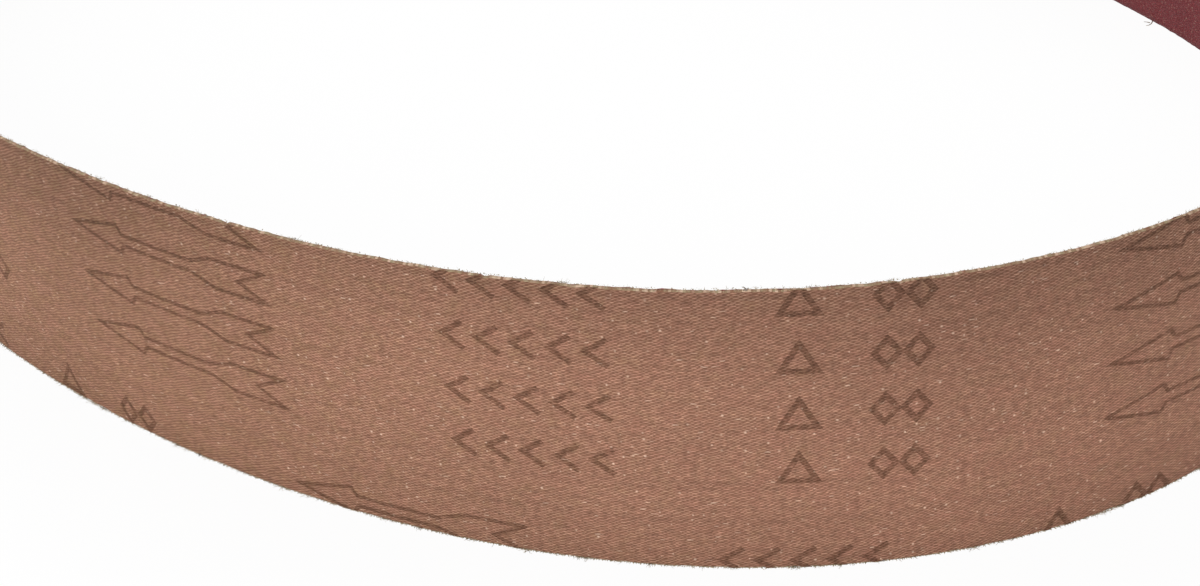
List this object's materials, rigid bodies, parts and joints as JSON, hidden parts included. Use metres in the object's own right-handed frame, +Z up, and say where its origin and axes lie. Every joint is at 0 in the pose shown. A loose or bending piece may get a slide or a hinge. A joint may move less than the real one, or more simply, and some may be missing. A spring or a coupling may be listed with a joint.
{
  "type": "sanding belt",
  "caption": "Endless cloth-backed abrasive belt standing on edge in an oval, cloth face outwards and grit inwards, closed by a slanted taped splice.",
  "frame": {"origin": "middle of the oval, on the floor that the belt stands on", "axes": "+Z up the belt's width, X along the oval's longest way across, Y along its shorter way"},
  "size_m": [0.3348, 0.2394, 0.05],
  "materials": {
    "cloth": "plain matte woven cloth, brown",
    "grain": "coarse maroon grit in resin",
    "tape": "thin satin film"
  },
  "bodies": {
    "root": {"cloth_backing": "cloth", "grain_coat": "grain", "splice_tape": "tape"}
  },
  "joints": []
}
